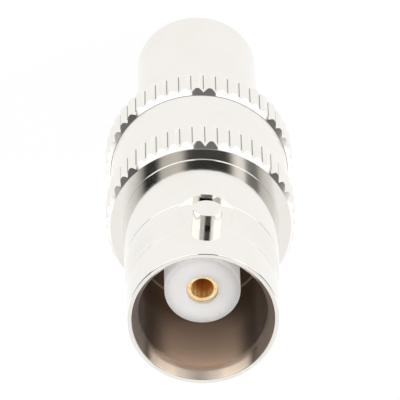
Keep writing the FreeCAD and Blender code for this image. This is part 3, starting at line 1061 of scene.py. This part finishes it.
def fill_ramp(node, stops):
    """Give a colour ramp its grey levels. Each stop is an angle from -180 to 180 and a level."""
    ramp = node.color_ramp
    ramp.interpolation = "EASE"
    places = [((angle + HALF_TURN) / (2 * HALF_TURN), (level, level, level, 1)) for angle, level in stops]
    ramp.elements[0].position, ramp.elements[0].color = places[0]
    ramp.elements[1].position, ramp.elements[1].color = places[-1]
    for place, colour in places[1:-1]:
        ramp.elements.new(place).color = colour


world = bpy.data.worlds.new("white_tent")
bpy.context.scene.world = world
world.use_nodes = True
room = world.node_tree
room.nodes.clear()
direction = add_node(room, "ShaderNodeTexCoord", "direction")
halfway = add_node(room, "ShaderNodeVectorMath", "halfway_to_lens", {"operation": "ADD"})
halfway.inputs[1].default_value = towards_camera
facing = add_node(room, "ShaderNodeSeparateXYZ", "facing")
heading = add_node(room, "ShaderNodeSeparateXYZ", "heading")
link_all(room, (
    (direction.outputs["Generated"], halfway.inputs[0]),
    (halfway.outputs[0], facing.inputs[0]),
    (direction.outputs["Generated"], heading.inputs[0])))
to_right = math_node(room, "MULTIPLY", "to_picture_right", facing.outputs["X"], -1.0)
to_lens = math_node(room, "MULTIPLY", "to_lens", facing.outputs["Y"], -1.0)
wedge = math_node(room, "ARCTAN2", "wedge_angle", to_right, to_lens)
share = math_node(room, "DIVIDE", "share_of_turn", wedge, math.tau)
share = math_node(room, "ADD", "from_zero_to_one", share, 0.5)

upper_panels = add_node(room, "ShaderNodeValToRGB", "upper_panels")
fill_ramp(upper_panels, [
    (-180, 0.92), (-85, 0.9), (-70, 0.78), (-60, 0.62), (-53, 0.37), (-49.5, 0.0), (-37.5, 0.0),
    (-33, 0.5), (-20, 0.58), (-12, 0.015), (17, 0.015), (24, 0.85), (30.5, 0.92), (32, 0.16),
    (43.5, 0.14), (45.5, 0.5), (57, 0.66), (75, 0.85), (180, 0.92),
])
lower_panels = add_node(room, "ShaderNodeValToRGB", "lower_panels")
fill_ramp(lower_panels, [
    (-180, 0.8), (-118, 0.88), (-98, 1.2), (-79, 1.18), (-69, 0.46), (-60, 0.16), (-47.5, 0.1),
    (-43, 1.3), (-8, 1.3), (-6.8, 0.16), (6.8, 0.16), (8, 1.3), (41, 1.3), (45.5, 0.13), (56, 0.18),
    (63, 0.52), (71, 1.18), (98, 1.2), (118, 0.88), (180, 0.8),
])
for panels in (upper_panels, lower_panels):
    room.links.new(share, panels.inputs[0])
height_share = smooth_step(room, "from_lower_to_upper", heading.outputs["Z"], 0.45, 0.6)
walls = tint(room, "walls", height_share, lower_panels.outputs["Color"], upper_panels.outputs["Color"])
roof_share = smooth_step(room, "from_walls_to_roof", heading.outputs["Z"], 0.91, 0.96)
walls = tint(room, "walls_and_roof", roof_share, walls, (1, 1, 1, 1))
flat_x = math_node(room, "MULTIPLY", "flat_x", facing.outputs["X"], facing.outputs["X"])
flat_y = math_node(room, "MULTIPLY", "flat_y", facing.outputs["Y"], facing.outputs["Y"])
flat = math_node(room, "ADD", "sideways_squared", flat_x, flat_y)
tilted = smooth_step(room, "tilted_enough", flat, 0.03, 0.12)
walls = tint(room, "walls_roof_and_rear", tilted, (0.85, 0.85, 0.85, 1), walls)

seen = add_node(room, "ShaderNodeBackground", "seen_by_lens", values={"Color": (1, 1, 1, 1)})
mirrored = add_node(room, "ShaderNodeBackground", "seen_in_mirror", values={"Strength": 1.12})
even = add_node(room, "ShaderNodeBackground", "even_light", values={"Color": (1, 1, 1, 1)})
ray = add_node(room, "ShaderNodeLightPath", "ray")
choose_mirror = add_node(room, "ShaderNodeMixShader", "even_or_mirrored")
choose_lens = add_node(room, "ShaderNodeMixShader", "room_or_lens")
out = add_node(room, "ShaderNodeOutputWorld", "out")
link_all(room, (
    (walls, mirrored.inputs["Color"]),
    (ray.outputs["Is Glossy Ray"], choose_mirror.inputs["Fac"]),
    (even.outputs[0], choose_mirror.inputs[1]),
    (mirrored.outputs[0], choose_mirror.inputs[2]),
    (ray.outputs["Is Camera Ray"], choose_lens.inputs["Fac"]),
    (choose_mirror.outputs[0], choose_lens.inputs[1]),
    (seen.outputs[0], choose_lens.inputs[2]),
    (choose_lens.outputs[0], out.inputs["Surface"])))

# %% [markdown]
# The floor is white paper. Near the part it shows in every upright face of the metal. Further
# out it fades from the mirrored picture, and then only the lens sees it, so that the metal's
# sloping edges see the room's dark gaps instead and no hard line crosses the sleeve.

# %% Floor
FLOOR_GLOW = 0.95
fade_start = 26.0
near_radius = 46.0
far_radius = 400.0


def make_paper(name, glow_share):
    """White paper that is plain white to the lens and in mirrors, with a trace of the shadow."""
    paper, tree, _ = start_material(name)
    tree.nodes.clear()
    ray = add_node(tree, "ShaderNodeLightPath", "ray")
    either = math_node(
        tree, "MAXIMUM", "lens_or_mirror", ray.outputs["Is Camera Ray"], ray.outputs["Is Glossy Ray"])
    share = math_node(tree, "MULTIPLY", "glow_share", either, glow_share)
    matt = add_node(tree, "ShaderNodeBsdfDiffuse", "matt", values={"Color": (0.95, 0.95, 0.95, 1)})
    glow = add_node(tree, "ShaderNodeEmission", "glow")
    blend = add_node(tree, "ShaderNodeMixShader", "blend")
    distance, _, _ = place_on_lathe(tree)
    far_away = smooth_step(tree, "far_away", distance, fade_start, near_radius)
    fade = math_node(tree, "MULTIPLY", "fade_in_mirrors", far_away, ray.outputs["Is Glossy Ray"])
    clear = add_node(tree, "ShaderNodeBsdfTransparent", "clear")
    fading = add_node(tree, "ShaderNodeMixShader", "fading")
    out = add_node(tree, "ShaderNodeOutputMaterial", "out")
    link_all(tree, (
        (share, blend.inputs["Fac"]),
        (matt.outputs[0], blend.inputs[1]),
        (glow.outputs[0], blend.inputs[2]),
        (fade, fading.inputs["Fac"]),
        (blend.outputs[0], fading.inputs[1]),
        (clear.outputs[0], fading.inputs[2]),
        (fading.outputs[0], out.inputs["Surface"])))
    return paper


paper = make_paper("white_paper", FLOOR_GLOW)
bpy.ops.object.select_all(action="DESELECT")
bpy.ops.mesh.primitive_circle_add(vertices=128, radius=near_radius * MM, fill_type="NGON")
near_floor = start_piece("near_floor")
bpy.ops.object.select_all(action="DESELECT")
bpy.ops.mesh.primitive_circle_add(vertices=128, radius=near_radius * MM)
far_floor = start_piece("far_floor")
bpy.ops.object.mode_set(mode="EDIT")
bpy.ops.mesh.extrude_region_move()
bpy.ops.transform.resize(value=(far_radius / near_radius, far_radius / near_radius, 1))
bpy.ops.object.mode_set(mode="OBJECT")
far_floor.visible_glossy = False
for sheet in (near_floor, far_floor):
    dress(sheet, paper)

# %% [markdown]
# One large soft lamp stands at the right of the picture. It reaches over the shell's near wall to
# the left of the white insulator, which then fades gently to the right. The metal doesn't mirror it.

# %% Lamp
lamp_place = (-150, -60, 220)
bpy.ops.object.light_add(type="AREA", location=[value * MM for value in lamp_place])
lamp = bpy.context.object
lamp.name = "soft_lamp"
lamp.data.size = 0.09
lamp.data.energy = 0.33
lamp_reach = math.hypot(lamp_place[0], lamp_place[1])
lamp.rotation_euler = (
    math.atan2(lamp_reach, lamp_place[2] - mouth), 0, math.atan2(lamp_place[0], -lamp_place[1]))
lamp.visible_glossy = False

bpy.context.scene.view_settings.view_transform = "Standard"
